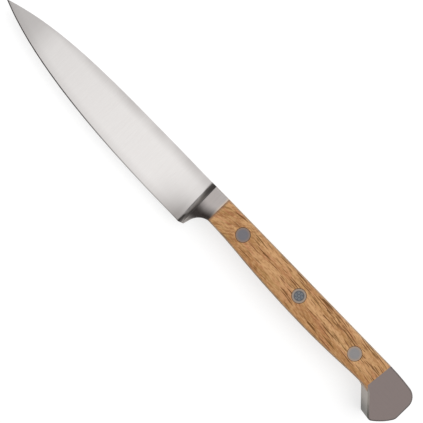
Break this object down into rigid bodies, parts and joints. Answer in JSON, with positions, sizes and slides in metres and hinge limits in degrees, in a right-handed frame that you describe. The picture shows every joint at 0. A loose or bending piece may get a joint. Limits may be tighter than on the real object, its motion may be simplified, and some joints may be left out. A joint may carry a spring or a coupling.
{
  "type": "paring knife",
  "caption": "Forged paring knife with a pointed, slightly bellied blade, full bolster with a finger notch, riveted wooden handle scales and a beaked steel pommel.",
  "frame": {"origin": "middle of the knife's box in X and Y, on the surface that it rests on while it lies on its far side", "axes": "+X from the blade's point to the butt of the pommel, +Y from the cutting edge up to the spine, +Z out of the near side, up from the surface that it lies on"},
  "size_m": [0.2062, 0.019, 0.0135],
  "materials": {
    "forged_steel": "satin ground blade, brushed bolster and matt pommel",
    "oak": "oiled open-pored oak",
    "rivet_steel": "ground flush, satin"
  },
  "bodies": {
    "root": {"forged_blade": "forged_steel", "near_scale": "oak", "far_scale": "oak", "front_rivet_socket": "rivet_steel", "front_rivet_pin": "rivet_steel", "middle_rivet_socket": "rivet_steel", "middle_rivet_pin": "rivet_steel", "rear_rivet_socket": "rivet_steel", "rear_rivet_pin": "rivet_steel"}
  },
  "joints": []
}
